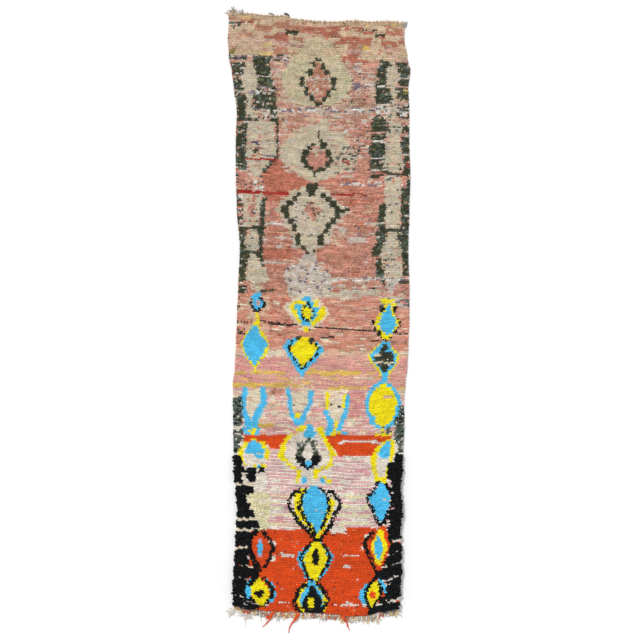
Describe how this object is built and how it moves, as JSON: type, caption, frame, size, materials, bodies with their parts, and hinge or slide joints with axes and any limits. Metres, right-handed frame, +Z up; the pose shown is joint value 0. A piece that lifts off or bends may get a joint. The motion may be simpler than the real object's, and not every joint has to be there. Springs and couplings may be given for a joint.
{
  "type": "moroccan runner rug",
  "caption": "Long flat hand-knotted runner rug with stepped lozenges, shaggy dark sides at one end and short fringes at both ends.",
  "frame": {"origin": "on the flat underside, near the middle of the cloth", "axes": "+Y along the rug towards its worn, older end, +X across it, +Z up out of the pile"},
  "size_m": [0.912, 3.1323, 0.0254],
  "materials": {
    "knotted_pile": "coarse knotted wool and cotton pile, worn low at one end and chunky at the other, in rose, ivory, dark green, blue, yellow, orange and black",
    "fringe": "knotted ivory and grey warp ends with a few red yarn tails"
  },
  "bodies": {
    "root": {"rug": "knotted_pile", "bottom_fringe": "fringe", "top_fringe": "fringe"}
  },
  "joints": []
}
